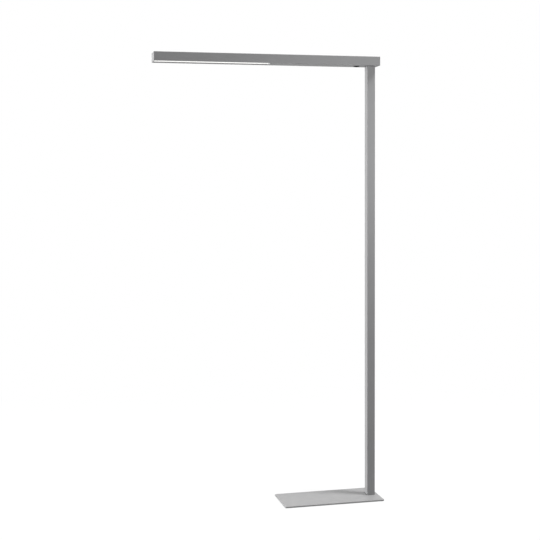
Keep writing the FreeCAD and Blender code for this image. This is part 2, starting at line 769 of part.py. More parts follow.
def led_driver():
    """Slim converter under the web, bevelled along its lower edges, with an ear at each end."""
    half = DRIVER_WIDTH / 2
    low = driver_bottom - head_bottom
    high = lower_channel
    corners = [(-half, low + DRIVER_CHAMFER, 0), (DRIVER_CHAMFER - half, low, 0),
               (half - DRIVER_CHAMFER, low, 0), (half, low + DRIVER_CHAMFER, 0),
               (half, high, 0), (-half, high, 0)]
    body = along_x(corners, driver_left, driver_right)
    ear_half = DRIVER_EAR_WIDTH / 2
    ears = box(driver_left - DRIVER_EAR, driver_right + DRIVER_EAR, -ear_half, ear_half,
               web_bottom - DRIVER_EAR_THICKNESS, web_bottom)
    driver = body.fuse(ears).removeSplitter()
    for x, y in driver_screw_places():
        low = V(x, y, web_bottom - DRIVER_EAR_THICKNESS)
        driver = driver.cut(flat_sided(INNER_SCREW_R + SCREW_CLEARANCE, low, V(x, y, web_bottom)))
    return driver


def driver_screws():
    seat = web_bottom - DRIVER_EAR_THICKNESS
    length = DRIVER_EAR_THICKNESS + HEAD_WEB - SCREW_STOP
    return [pan_screw(V(x, y, seat), V(0, 0, 1), length, INNER_SCREW_R, INNER_SCREW_HEAD_R,
                      INNER_SCREW_HEAD_HEIGHT) for x, y in driver_screw_places()]


def terminal_block():
    """Three-pole block under the web.  Its clamp screws are reached through wells in its
    underside, at either end of each pole."""
    half = TERMINAL_WIDTH / 2
    low = web_bottom - TERMINAL_HEIGHT
    block = box(terminal_left, terminal_right, -half, half, low, web_bottom)
    step = TERMINAL_WIDTH / TERMINAL_POLES
    for pole in range(TERMINAL_POLES):
        y = (pole - (TERMINAL_POLES - 1) / 2) * step
        for x in (terminal_x - TERMINAL_LENGTH / 3, terminal_x + TERMINAL_LENGTH / 3):
            block = block.cut(well(x, y, low))
    start = V(terminal_x, 0, low)
    end = V(terminal_x, 0, web_bottom)
    return block.cut(flat_sided(INNER_SCREW_R + SCREW_CLEARANCE, start, end))


def terminal_screw():
    seat = V(terminal_x, 0, web_bottom - TERMINAL_HEIGHT)
    length = TERMINAL_HEIGHT + HEAD_WEB - SCREW_STOP
    return pan_screw(seat, V(0, 0, 1), length, INNER_SCREW_R, INNER_SCREW_HEAD_R,
                     INNER_SCREW_HEAD_HEIGHT)


def head_saddle():
    """Block that carries the head on the column.  A slot in its left side lets the mains lead
    bend into the head."""
    bottom = head_bottom + COVER_SKIN
    half_x = column_half + SADDLE_MARGIN_X
    half_y = column_half + SADDLE_MARGIN_Y
    saddle = box(column_x - half_x, column_x + half_x, -half_y, half_y, bottom, web_bottom)
    saddle = saddle.cut(rod(LEAD_HOLE_R, V(column_x, 0, bottom), V(column_x, 0, web_bottom)))
    slot = MAINS_LEAD_R + ROUTE
    saddle = saddle.cut(box(column_x - half_x - SEAT, column_x, -slot, slot, bottom, web_bottom))
    for x, y in port_places():
        saddle = saddle.cut(flat_sided(column_screw_hole_r, V(x, y, bottom), V(x, y, web_bottom)))
    return saddle


def head_screws():
    length = web_top - column_top + COLUMN_SCREW_GRIP
    return [pan_screw(V(x, y, web_top), V(0, 0, -1), length, column_screw_r,
                      COLUMN_SCREW_HEAD_R, COLUMN_SCREW_HEAD_HEIGHT) for x, y in port_places()]


save("head_profile", head_profile())
save("end_cap_left", end_cap(head_left, 1))
save("end_cap_right", end_cap(head_right, -1))
save("end_cap_screws", *end_cap_screws())
save("head_saddle", head_saddle())
save("head_screws", *head_screws())
save("underside_cover", underside_cover())
save("top_cover", top_cover())
save("down_diffuser", down_diffuser())

down_face = web_bottom - BOARD_THICKNESS
up_face = web_top + BOARD_THICKNESS
save("down_led_board", led_board(down_board_left, down_board_right, web_bottom, -1,
                                 DRIVER_PLUG_ROW))
save("down_leds", *led_row(down_board_left, down_board_right, down_face, -1))
save("up_led_board", led_board(up_board_left, up_board_right, web_top, 1, -side_lead_y))
save("up_leds", *led_row(up_board_left, up_board_right, up_face, 1))
save("led_driver", led_driver())
save("driver_screws", *driver_screws())
save("terminal_block", terminal_block())
save("terminal_screw", terminal_screw())


# ======== Push button ========


def control_bezel():
    """Black bezel under the cover.  Its barrel goes up through the cover, guides the button
    and carries the switch board."""
    bore_r = BUTTON_R + SLIDE
    chamber_r = BARREL_R - BARREL_WALL
    points = [(bore_r, -BEZEL_PROUD), (BEZEL_R - BEZEL_EDGE, -BEZEL_PROUD),
              (BEZEL_R, BEZEL_EDGE - BEZEL_PROUD), (BEZEL_R, 0), (BARREL_R, 0),
              (BARREL_R, BARREL_TOP), (chamber_r, BARREL_TOP), (chamber_r, BUTTON_SHOULDER),
              (bore_r, BUTTON_SHOULDER)]
    return revolved(points, V(control_x, 0, head_bottom), V(0, 0, 1))


def control_nut():
    start = V(control_x, 0, head_bottom + COVER_SKIN)
    nut = hexagon(CONTROL_NUT_FLATS, CONTROL_NUT, start, V(0, 0, 1))
    return nut.cut(rod(BARREL_R + THREAD, start, start.add(V(0, 0, CONTROL_NUT))))


collar_bottom = BUTTON_SHOULDER + SEAT
collar_top = collar_bottom + BUTTON_COLLAR
switch_bottom = BARREL_TOP - SWITCH_HEIGHT
post_top = switch_bottom - BUTTON_TRAVEL - SLIDE


def push_button():
    """The moving button: a bevelled face below the bezel, a collar that stops on the bezel's
    shoulder, and a hexagonal post that works the switch."""
    face = -BEZEL_PROUD - BUTTON_PROUD
    collar_r = BARREL_R - BARREL_WALL - SLIDE
    points = [(0, face), (BUTTON_R - BUTTON_BEVEL, face), (BUTTON_R, face + BUTTON_BEVEL),
              (BUTTON_R, collar_bottom), (collar_r, collar_bottom),
              (collar_r, collar_top), (0, collar_top)]
    button = revolved(points, V(control_x, 0, head_bottom), V(0, 0, 1))
    start = V(control_x, 0, head_bottom + collar_top)
    return button.fuse(hexagon(BUTTON_POST_FLATS, post_top - collar_top, start, V(0, 0, 1)))


def switch_plunger():
    start = V(control_x, 0, head_bottom + post_top)
    return rod(PLUNGER_R, start, V(control_x, 0, head_bottom + switch_bottom + PLUNGER_INSIDE))


def control_switch():
    half = SWITCH_SIDE / 2
    low = head_bottom + switch_bottom
    high = head_bottom + BARREL_TOP
    body = box(control_x - half, control_x + half, -half, half, low, high)
    return body.cut(rod(PLUNGER_R + SLIDE, V(control_x, 0, low), V(control_x, 0, high)))


def control_board():
    bottom = head_bottom + BARREL_TOP
    top = head_bottom + control_top
    half = CONTROL_PLUG_LENGTH / 2
    board = flat_sided(CONTROL_BOARD_R, V(control_x, 0, bottom), V(control_x, 0, top))
    plug = box(control_x - half, control_x + half, CONTROL_PLUG_ROW - CONTROL_PLUG_WIDTH / 2,
               CONTROL_PLUG_ROW + CONTROL_PLUG_WIDTH / 2, top, top + CONTROL_PLUG_HEIGHT)
    return board.fuse(plug)


save("control_bezel", control_bezel())
save("control_nut", control_nut())
save("push_button", push_button())
save("switch_plunger", switch_plunger())
save("control_switch", control_switch())
save("control_board", control_board())


# ======== Leads inside the head ========


def input_lead():
    """From the terminal block to the driver."""
    run = (terminal_left - driver_right) / 3
    points = [V(terminal_left, 0, lead_level), V(terminal_left - run, 0, lead_level),
              V(driver_right + run, 0, driver_plug_level), V(driver_right, 0, driver_plug_level)]
    return lead(points, INPUT_LEAD_R)


def downlight_lead():
    """From the driver's left end to the downlight board's plug."""
    plug_level = down_face - BOARD_PLUG_HEIGHT / 2
    run = (driver_left - down_board_right) / 3
    points = [V(driver_left, DRIVER_PLUG_ROW, driver_plug_level),
              V(driver_left - run, DRIVER_PLUG_ROW, driver_plug_level),
              V(down_board_right + run, DRIVER_PLUG_ROW, plug_level),
              V(down_board_right, DRIVER_PLUG_ROW, plug_level)]
    return lead(points, SIDE_LEAD_R)


def uplight_lead():
    """From the driver's right end, past the terminal block and the button, up through the
    web and back to the uplight board's plug."""
    plug_level = up_face + BOARD_PLUG_HEIGHT / 2
    run = (terminal_left - driver_right) / 3
    points = [V(driver_right, -DRIVER_PLUG_ROW, driver_plug_level),
              V(driver_right + run, -DRIVER_PLUG_ROW, driver_plug_level),
              V(terminal_left - run, -side_lead_y, driver_plug_level),
              V(web_hole_x, -side_lead_y, driver_plug_level),
              V(web_hole_x, -side_lead_y, plug_level),
              V(up_board_right, -side_lead_y, plug_level)]
    return lead(points, SIDE_LEAD_R)


def control_lead():
    """From the switch board, round the terminal block, to the driver's right end."""
    level = head_bottom + control_top + CONTROL_PLUG_HEIGHT / 2
    plug_left = control_x - CONTROL_PLUG_LENGTH / 2
    gap = (plug_left - terminal_right) / 3
    run = (terminal_left - driver_right) / 3
    points = [V(plug_left, CONTROL_PLUG_ROW, level),
              V(plug_left - gap, CONTROL_PLUG_ROW, level),
              V(terminal_right + gap, side_lead_y, level),
              V(terminal_left - run, side_lead_y, level),
              V(driver_right + run, DRIVER_PLUG_ROW, driver_plug_level),
              V(driver_right, DRIVER_PLUG_ROW, driver_plug_level)]
    return lead(points, SIDE_LEAD_R)


def lead_clip():
    """Clip under the web that holds the mains lead off the push button."""
    middle = control_x + CLIP_FROM_CONTROL
    bore_r = MAINS_LEAD_R + SEAT
    half = bore_r + CLIP_WALL
    left = middle - CLIP_LENGTH / 2
    right = middle + CLIP_LENGTH / 2
    body = box(left, right, -half, half, lead_level - bore_r - CLIP_SILL, web_bottom)
    return body.cut(rod(bore_r, V(left, 0, lead_level), V(right, 0, lead_level)))


save("input_lead", input_lead())
save("downlight_lead", downlight_lead())
save("uplight_lead", uplight_lead())
save("control_lead", control_lead())
save("lead_clip", lead_clip())
print("head height %.2f, underside at %.2f" % (head_height, head_bottom))
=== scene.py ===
# %% [markdown]
# # An office floor lamp, dressed in Blender
#
# The lamp arrives as a set of measured solids, one mesh for each real piece: a base plate, a
# square column, a long flat head, and what hides inside them.  This lesson adds what the solids
# lack, which is light, finishes, and the small forms that catch the eye: softened edges,
# threaded screws, ribbed feet, round leads.  Nearly every place and size is measured on the
# solids themselves, so a change to the lamp carries through.
#
# All lengths are in metres, Blender's own unit.  Z is up, X runs along the head towards the
# column, and the front of the lamp looks towards -Y.

import json
import math

import bmesh
import bpy
from mathutils import Matrix, Vector


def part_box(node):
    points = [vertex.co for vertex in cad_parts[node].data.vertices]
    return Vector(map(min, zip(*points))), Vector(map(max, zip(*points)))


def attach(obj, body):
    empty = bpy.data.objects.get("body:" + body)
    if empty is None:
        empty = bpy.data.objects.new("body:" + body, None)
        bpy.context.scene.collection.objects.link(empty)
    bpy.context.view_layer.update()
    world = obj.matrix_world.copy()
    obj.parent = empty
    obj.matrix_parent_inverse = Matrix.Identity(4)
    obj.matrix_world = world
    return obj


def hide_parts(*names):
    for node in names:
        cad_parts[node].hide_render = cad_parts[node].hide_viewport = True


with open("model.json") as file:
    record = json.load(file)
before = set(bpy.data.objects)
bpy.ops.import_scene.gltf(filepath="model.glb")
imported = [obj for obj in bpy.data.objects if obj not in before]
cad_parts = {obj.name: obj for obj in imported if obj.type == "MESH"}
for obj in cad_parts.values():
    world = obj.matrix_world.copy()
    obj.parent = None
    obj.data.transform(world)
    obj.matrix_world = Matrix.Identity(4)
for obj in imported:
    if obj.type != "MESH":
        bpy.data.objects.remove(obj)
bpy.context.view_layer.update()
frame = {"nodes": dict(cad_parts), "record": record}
MM = 0.001

head_low, head_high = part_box("head_profile")
head_low.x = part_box("end_cap_left")[0].x
head_high.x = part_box("end_cap_right")[1].x
column_low, column_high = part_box("column_profile")
plate_low, plate_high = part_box("base_plate")

# %% [markdown]
# ## The camera
#
# A product photograph of something this tall is taken from a few metres away with a long lens,
# so that upright edges stay nearly parallel.  The place and angles below were found by fitting
# the lamp's corners to the photograph.  A camera can be aimed with a Track To constraint, but a
# fitted view also has a small roll, so here the three axes are worked out and written into the
# camera's matrix.

# %% Camera
VIEW_PLACE = Vector((-1.0336, -4.4603, 1.3548))
VIEW_YAW = math.radians(13.097)
VIEW_PITCH = math.radians(-4.074)
VIEW_ROLL = math.radians(-0.366)
VIEW_LENS = 70.52
SENSOR_WIDTH = 36.0

ahead = Vector((math.sin(VIEW_YAW) * math.cos(VIEW_PITCH),
                math.cos(VIEW_YAW) * math.cos(VIEW_PITCH), math.sin(VIEW_PITCH)))
level_right = Vector((math.cos(VIEW_YAW), -math.sin(VIEW_YAW), 0))
level_up = level_right.cross(ahead)
view_right = math.cos(VIEW_ROLL) * level_right + math.sin(VIEW_ROLL) * level_up
view_up = math.cos(VIEW_ROLL) * level_up - math.sin(VIEW_ROLL) * level_right

camera_data = bpy.data.cameras.new("photo_camera")
camera_data.lens = VIEW_LENS
camera_data.sensor_width = SENSOR_WIDTH
camera = bpy.data.objects.new("photo_camera", camera_data)
bpy.context.scene.collection.objects.link(camera)
axes = Matrix((view_right, view_up, -ahead)).transposed().to_4x4()
camera.matrix_world = Matrix.Translation(VIEW_PLACE) @ axes
bpy.context.scene.camera = camera
bpy.context.scene.view_settings.view_transform = "Standard"
print("camera", round(VIEW_PLACE.length, 2), "m from the foot of the lamp's middle")

# %% [markdown]
# ## The studio
#
# The photograph shows four things about its light.  Faces that look left are the brightest, so
# a large soft lamp stands to the left.  The front faces are brightest near the corner where head
# meets column and fall off from there, so a small lamp stands close in front of that corner.
# A soft dark wedge on the base runs left and back from the column's foot, so another lamp stands
# high and far off to the right.  The underside is pale, because a pale floor throws light up.
# Two weaker lamps, above and behind, keep the sides that the photograph hides from going dark.
#
# Sun lamps would be simpler, but their shadows are hard and they light every height alike.  Area
# lamps are softboxes: their size sets how soft a shadow is, and their distance how fast the light
# falls off.  The left one is kept out of reflections, because from the sides the head's underside
# would mirror it as a white patch.


# %% Soft lamps
def soft_light(name, place, aim, width, height, watts):
    """A rectangular studio lamp at place that looks at aim."""
    data = bpy.data.lights.new(name, "AREA")
    data.shape = "RECTANGLE"
    data.size = width
    data.size_y = height
    data.energy = watts
    light = bpy.data.objects.new(name, data)
    bpy.context.scene.collection.objects.link(light)
    place = Vector(place)
    light.location = place
    light.rotation_euler = (Vector(aim) - place).to_track_quat("-Z", "Y").to_euler()
    light.visible_camera = False
    return light


lamps = {name: soft_light(name, *settings) for name, *settings in (
    # name, place, what it looks at, width, height, watts
    ("left_lamp", (-5.2, 0.3, 1.3), (0.2, 0, 1.0), 2.0, 2.4, 374),
    ("front_lamp", (0.62, -1.2, 1.62), (0.46, 0, 1.58), 0.45, 0.45, 6.0),
    ("right_lamp", (4.94, -2.56, 11.0), (0.3, 0, 0.6), 2.3, 2.3, 1040),
    ("top_lamp", (0.0, 0.9, 8.0), (0.1, 0, 0), 4.4, 3.4, 106),
    ("back_lamp", (3.4, 1.6, 2.4), (0.1, 0, 1.0), 1.6, 1.6, 20),
)}
lamps["left_lamp"].visible_glossy = False
print("lamps", sorted(lamps))

# %% [markdown]
# ### Helpers for node trees
#
# Materials, the world and Geometry Nodes are all trees of nodes.  They can be drawn by hand in
# the editor, but a script can be read, compared and run again.  Written out, each node takes
# three or four lines, which hides what the tree does, so one helper adds a node, sets it and
# wires it up, and a few others use it for the nodes that come back most.


# %% Adding a node in one line
def wire(tree, source, target):
    """Links a socket to a socket, or puts a plain value on the target."""
    if isinstance(source, bpy.types.NodeSocket):
        tree.links.new(source, target)
    else:
        target.default_value = source


def step(tree, kind, wires, out=0, **settings):
    """Adds one node and hands on one of its outputs.  settings are the node's own properties,
    and wires its inputs, by name or number."""
    node = tree.nodes.new(kind)
    for label, value in settings.items():
        setattr(node, label, value)
    for label, value in wires.items():
        wire(tree, value, node.inputs[label])
    return node.outputs[out]


def maths(tree, operation, *values):
    """A Math node; values are sockets or numbers."""
    return step(tree, "ShaderNodeMath", dict(enumerate(values)), operation=operation)


def vector_maths(tree, operation, *values, out="Vector"):
    return step(tree, "ShaderNodeVectorMath", dict(enumerate(values)), out, operation=operation)


def remap(tree, value, low, high, to_low, to_high):
    """A Map Range node: low to high becomes to_low to to_high, and stops there."""
    return step(tree, "ShaderNodeMapRange", {"Value": value, "From Min": low, "From Max": high,
                                             "To Min": to_low, "To Max": to_high})


def blend_colours(tree, mask, under, over):
    """Lays the colour over on the colour under where the mask is 1."""
    return step(tree, "ShaderNodeMix", {"Factor": mask, "A": under, "B": over}, "Result",
                data_type="RGBA")


# %% [markdown]
# ### White all round
#
# The photograph's background is plain white.  More light on the floor would do that, and would
# wash the lamp out as well.  Here the white is made by colour instead: rays that come straight
# from the camera, or off something shiny, see a white world, while the light that falls on the
# lamp stays at a plain level.  A Light Path node tells the two kinds of ray apart.


# %% White to the eye, plain to the object
def white_to_the_eye(tree):
    """1 for rays from the camera, a mirror or glass, and 0 for the light that falls on things."""
    ray = tree.nodes.new("ShaderNodeLightPath").outputs
    seen = maths(tree, "MAXIMUM", ray["Is Camera Ray"], ray["Is Glossy Ray"])
    return maths(tree, "MAXIMUM", seen, ray["Is Transmission Ray"])


SKY_GLOW = (0.08, 0.08, 0.08, 1)
WHITE = (1, 1, 1, 1)

world = bpy.data.worlds.new("studio")
world.use_nodes = True
bpy.context.scene.world = world
sky = world.node_tree
sky_colour = blend_colours(sky, white_to_the_eye(sky), SKY_GLOW, WHITE)
wire(sky, sky_colour, sky.nodes["Background"].inputs["Color"])
print("sky", SKY_GLOW[0], "on the lamp and", WHITE[0], "to the eye")

# %% [markdown]
# ### The floor
#
# The lamp needs a floor to stand on, to catch its shadow and to light its underside.  A shadow
# catcher would be quicker, but it sends no light back up.  This floor is a plain sheet with two
# shaders mixed: a matt one that takes the shadow, and a glow that lifts it to the white of the
# background.  Far from the lamp, where no shadow falls, the glow takes over altogether, so that
# no horizon shows.

# %% The floor's sheet
FLOOR_SIDE = 80.0

floor_mesh = bpy.data.meshes.new("studio_floor")
half = FLOOR_SIDE / 2
floor_mesh.from_pydata([(-half, -half, 0), (half, -half, 0), (half, half, 0), (-half, half, 0)],
                       [], [(0, 1, 2, 3)])
floor = bpy.data.objects.new("studio_floor", floor_mesh)
bpy.context.scene.collection.objects.link(floor)
print("floor", FLOOR_SIDE, "m square")

# %% The floor's finish
FLOOR_PALE = (0.28, 0.28, 0.28, 1)      # what the floor throws back up at the lamp
FLOOR_ROUGHNESS = 0.9
FLOOR_WHITE_SHARE = 0.84                # of what is seen near the lamp; the rest takes the shadow
FLOOR_ALL_WHITE = 3.0                   # metres out, where no shadow reaches

floor_finish = bpy.data.materials.new("studio_floor")
floor_finish.use_nodes = True
floor_tree = floor_finish.node_tree
matt = floor_tree.nodes["Principled BSDF"]
matt.inputs["Roughness"].default_value = FLOOR_ROUGHNESS
matt.inputs["Specular IOR Level"].default_value = 0.0
eye = white_to_the_eye(floor_tree)
wire(floor_tree, blend_colours(floor_tree, eye, FLOOR_PALE, WHITE), matt.inputs["Base Color"])

floor_place = floor_tree.nodes.new("ShaderNodeTexCoord").outputs["Object"]
out_from_lamp = vector_maths(floor_tree, "LENGTH", floor_place, out="Value")
share = remap(floor_tree, out_from_lamp, 0.0, FLOOR_ALL_WHITE, FLOOR_WHITE_SHARE, 1.0)
glow = floor_tree.nodes.new("ShaderNodeEmission").outputs[0]
floor_look = step(floor_tree, "ShaderNodeMixShader",
                  {0: maths(floor_tree, "MULTIPLY", eye, share), 1: matt.outputs[0], 2: glow})
wire(floor_tree, floor_look, floor_tree.nodes["Material Output"].inputs["Surface"])
floor_mesh.materials.append(floor_finish)
print("floor white", FLOOR_WHITE_SHARE, "near the lamp and 1 at", FLOOR_ALL_WHITE, "m")

# %% [markdown]
# ## Effects that several finishes share
#
# A finish looks real when nothing about it is quite constant.  Three effects do most of that
# work here, and each is a node group, so that a material places it like a single node:
#
# - *grain* is the fine tooth of a surface: a very small noise for its height, and a larger one
#   that drifts the colour and the gloss from patch to patch;
# - *rubbed edges* finds the outer edges of a box-shaped piece from its corners, where paint
#   wears brighter;
# - *settled dust* lies on what looks up.
#
# Each reads Object coordinates, which are real metres here, so a grain of 0.2 mm is 0.2 mm.


# %% A group of nodes
def new_group(name, inputs, outputs):
    """An empty shader group with named sockets.  inputs and outputs are (name, kind, value)."""
    group = bpy.data.node_groups.new(name, "ShaderNodeTree")
    for label, kind, value in inputs:
        socket = group.interface.new_socket(label, in_out="INPUT", socket_type="NodeSocket" + kind)
        socket.default_value = value
    for label, kind in outputs:
        group.interface.new_socket(label, in_out="OUTPUT", socket_type="NodeSocket" + kind)
    group.nodes.new("NodeGroupInput")
    group.nodes.new("NodeGroupOutput")
    return group


def noise(tree, size, detail=2.0):
    """A noise on Object coordinates whose lumps are about size across."""
    place = tree.nodes.new("ShaderNodeTexCoord").outputs["Object"]
    scale = maths(tree, "DIVIDE", 1.0, size)
    return step(tree, "ShaderNodeTexNoise", {"Vector": place, "Scale": scale, "Detail": detail},
                "Fac")


# %% Grain
NOISE_LOW, NOISE_HIGH = 0.3, 0.7        # nearly all of a noise lies between these


def around_one(tree, value, spread):
    """Turns a noise into a factor between 1 - spread and 1 + spread."""
    return remap(tree, value, NOISE_LOW, NOISE_HIGH, maths(tree, "SUBTRACT", 1.0, spread),
                 maths(tree, "ADD", 1.0, spread))


def make_grain_group():
    group = new_group("grain",
                      [("Colour", "Color", (0.5, 0.5, 0.5, 1)), ("Grain", "Float", 0.0002),
                       ("Patch", "Float", 0.06), ("Drift", "Float", 0.04),
                       ("Speck", "Float", 0.01),
                       ("Gloss Low", "Float", 0.4), ("Gloss High", "Float", 0.5)],
                      [("Colour", "Color"), ("Roughness", "Float"), ("Height", "Float")])
    given = group.nodes["Group Input"].outputs
    made = group.nodes["Group Output"].inputs
    tooth = noise(group, given["Grain"])
    patch = noise(group, given["Patch"], detail=3.0)
    tone = maths(group, "MULTIPLY", around_one(group, patch, given["Drift"]),
                 around_one(group, tooth, given["Speck"]))
    gloss = remap(group, patch, NOISE_LOW, NOISE_HIGH, given["Gloss Low"], given["Gloss High"])
    wire(group, vector_maths(group, "MULTIPLY", given["Colour"], tone), made["Colour"])
    wire(group, gloss, made["Roughness"])
    wire(group, tooth, made["Height"])
    return group


grain_group = make_grain_group()
print("grain group with", len(grain_group.nodes), "nodes")


# %% Rubbed edges
RUB_PATCH = 0.02                        # length of the stretches that are rubbed more or less
RUB_LEAST, RUB_MOST = 0.3, 1.2          # how far a rub reaches, in widths
RUB_NOISE = (0.35, 0.65)                # the stretch of the noise that goes from least to most


def make_edge_group():
    """The mask is 1 where two of the distances to the box's faces are small at once."""
    group = new_group("rubbed_edges",
                      [("Low", "Vector", (0, 0, 0)), ("High", "Vector", (1, 1, 1)),
                       ("Width", "Float", 0.001)],
                      [("Mask", "Float")])
    given = group.nodes["Group Input"].outputs
    place = group.nodes.new("ShaderNodeTexCoord").outputs["Object"]
    from_low = vector_maths(group, "SUBTRACT", place, given["Low"])
    from_high = vector_maths(group, "SUBTRACT", given["High"], place)
    nearest = group.nodes.new("ShaderNodeSeparateXYZ")
    wire(group, vector_maths(group, "MINIMUM", from_low, from_high), nearest.inputs[0])
    x, y, z = nearest.outputs
    lesser = maths(group, "MINIMUM", x, y)
    greater = maths(group, "MAXIMUM", x, y)
    middle = maths(group, "MAXIMUM", lesser, maths(group, "MINIMUM", greater, z))
    broken = remap(group, noise(group, RUB_PATCH, detail=4.0), *RUB_NOISE, RUB_LEAST, RUB_MOST)
    reach = maths(group, "MULTIPLY", given["Width"], broken)
    mask = remap(group, middle, 0.0, reach, 1.0, 0.0)
    wire(group, mask, group.nodes["Group Output"].inputs["Mask"])
    return group


edge_group = make_edge_group()
print("edge group with", len(edge_group.nodes), "nodes")


# %% Settled dust
DUST_PATCH = 0.035
DUST_THINNEST = 0.2                     # of the amount, between the patches
DUST_NOISE = (0.35, 0.7)                # the stretch of the noise that goes from thinnest to full
STEEP, LEVEL = 0.5, 1.0                 # how far up a face looks: none stays on a steep one


def make_dust_group():
    group = new_group("settled_dust", [("Amount", "Float", 0.1)], [("Mask", "Float")])
    given = group.nodes["Group Input"].outputs
    normal = group.nodes.new("ShaderNodeNewGeometry").outputs["Normal"]
    facing_up = step(group, "ShaderNodeSeparateXYZ", {0: normal}, "Z")
    upward = remap(group, facing_up, STEEP, LEVEL, 0.0, 1.0)
    cloud = remap(group, noise(group, DUST_PATCH, detail=5.0), *DUST_NOISE, DUST_THINNEST, 1.0)
    dust = maths(group, "MULTIPLY", maths(group, "MULTIPLY", upward, cloud), given["Amount"])
    wire(group, dust, group.nodes["Group Output"].inputs["Mask"])
    return group


dust_group = make_dust_group()
print("dust group with", len(dust_group.nodes), "nodes")

# %% [markdown]
# ## Finishes
#
# One function builds every solid finish, because they differ by their numbers and not by their
# nodes: colour, gloss, how metallic, how coarse the grain is.  Numbers that are the same all
# over a piece go straight onto the shader's sockets, and only what varies comes through nodes.


# %% The finish builder
DUST_COLOUR = (0.62, 0.60, 0.57, 1)


def place_group(tree, group, **values):
    """Puts a node group in a material.  A label's space is written as _ here."""
    node = tree.nodes.new("ShaderNodeGroup")
    node.node_tree = group
    for label, value in values.items():
        wire(tree, value, node.inputs[label.replace("_", " ")])
    return node


def make_finish(name, colour, gloss, metallic=0.0, grain=0.2 * MM, depth=0.01 * MM, patch=0.06,
                drift=0.03, speck=0.01, shine=0.5, edge_box=None, edge_colour=None,
                edge_width=1.0 * MM, dust=0.0):
    """A solid finish.  gloss is the lowest and highest roughness, grain and depth the width and
    height of its tooth, patch the size of the areas whose tone differs by drift, shine the
    specular level, and edge_box the corners of the box whose edges are rubbed."""
    finish = bpy.data.materials.new(name)
    finish.use_nodes = True
    tree = finish.node_tree
    shader = tree.nodes["Principled BSDF"]
    grained = place_group(tree, grain_group, Colour=(*colour, 1), Grain=grain, Patch=patch,
                          Drift=drift, Speck=speck, Gloss_Low=gloss[0], Gloss_High=gloss[1])
    tone = grained.outputs["Colour"]
    if edge_box:
        rubbed = place_group(tree, edge_group, Low=edge_box[0], High=edge_box[1], Width=edge_width)
        tone = blend_colours(tree, rubbed.outputs["Mask"], tone, (*edge_colour, 1))
    if dust:
        settled = place_group(tree, dust_group, Amount=dust)
        tone = blend_colours(tree, settled.outputs["Mask"], tone, DUST_COLOUR)
    wire(tree, tone, shader.inputs["Base Color"])
    wire(tree, grained.outputs["Roughness"], shader.inputs["Roughness"])
    shader.inputs["Metallic"].default_value = metallic
    shader.inputs["Specular IOR Level"].default_value = shine
    tooth = step(tree, "ShaderNodeBump", {"Distance": depth, "Height": grained.outputs["Height"]})
    wire(tree, tooth, shader.inputs["Normal"])
    return finish


# %% [markdown]
# ### Silver paint
#
# The head, the column and the base share one look: a matt silver-grey, though the head's copy of
# it is a little darker, which is painted shade that keeps its long front face dim.  On such lamps
# the aluminium is anodised or sprayed with a paint that holds metal flakes.  A metallic shader
# would mirror the white room and turn too bright, so this one is only slightly metallic: what is
# seen is mostly the paint's own grey.  The steel plate has a slightly coarser powder coat.

# %% Silver finishes
SILVER = (0.345, 0.345, 0.35)
SILVER_RUBBED = (0.43, 0.43, 0.435)
# The head's silver is the column's paint made darker: painted shade on the head's front face.
HEAD_SILVER_SHADED = (0.322, 0.322, 0.327)
finishes = {}


def add_finish(name, colour, gloss, **settings):
    finishes[name] = make_finish(name, colour, gloss, **settings)


flaked = dict(metallic=0.06, shine=0.25, edge_colour=SILVER_RUBBED)
add_finish("head_metal", HEAD_SILVER_SHADED, (0.52, 0.60), grain=0.25 * MM, depth=0.004 * MM,
           edge_box=(head_low, head_high), dust=0.10, **flaked)
add_finish("column_metal", SILVER, (0.52, 0.60), grain=0.25 * MM, depth=0.004 * MM,
           edge_box=(column_low, column_high), **flaked)
add_finish("plate_paint", SILVER, (0.52, 0.62), grain=0.6 * MM, depth=0.008 * MM,
           edge_box=(plate_low, plate_high), edge_width=0.4 * MM, dust=0.12, **flaked)
print("silver finishes", sorted(finishes))

# %% [markdown]
# ### Bare metal inside
#
# Nothing is painted where it doesn't show.  The head's saddle is plain aluminium, the bracket in
# the foot is steel with a zinc coat that has clouded in patches, and the screws are steel as
# well, turned and therefore smoother.  A metal takes nearly all its colour from what it mirrors,
# so these are almost fully metallic and differ by their gloss.

# %% Bare metals
add_finish("plain_metal", (0.62, 0.62, 0.63), (0.30, 0.42), metallic=0.9, grain=0.3 * MM)
add_finish("bracket_steel", (0.56, 0.57, 0.58), (0.28, 0.45), metallic=0.9, grain=0.5 * MM,
           patch=0.012, drift=0.08)
add_finish("screw_steel", (0.50, 0.50, 0.51), (0.22, 0.34), metallic=0.95, grain=0.1 * MM,
           patch=0.004, drift=0.06)
print("finishes so far", sorted(finishes))

# %% [markdown]
# ### Plastics, rubber and opal
#
# Moulded plastic is dull where the mould was sparked and a little glossier elsewhere.  Rubber is
# darker and duller still.  The opal sheets are white acrylic: the one under the head glows, as it
# does when the lamp is on, and the one on top is off, so it gets the same finish without a glow.

# %% Plastics and rubber
add_finish("black_plastic", (0.010, 0.010, 0.011), (0.66, 0.78), grain=0.15 * MM,
           depth=0.012 * MM, patch=0.01, drift=0.10, shine=0.04)
add_finish("button_plastic", (0.016, 0.016, 0.017), (0.46, 0.56), grain=0.2 * MM,
           depth=0.006 * MM, patch=0.006, drift=0.08, shine=0.10)
add_finish("black_rubber", (0.022, 0.022, 0.022), (0.62, 0.78), grain=0.3 * MM,
           depth=0.02 * MM, patch=0.02, drift=0.12)
add_finish("white_plastic", (0.80, 0.80, 0.78), (0.32, 0.42), grain=0.2 * MM,
           depth=0.008 * MM, patch=0.02, drift=0.02)
add_finish("driver_case", (0.74, 0.74, 0.73), (0.40, 0.52), grain=0.35 * MM,
           depth=0.015 * MM, patch=0.05, drift=0.03)
add_finish("mains_sheath", (0.03, 0.03, 0.03), (0.48, 0.60), grain=0.3 * MM,
           depth=0.01 * MM, patch=0.03, drift=0.10)
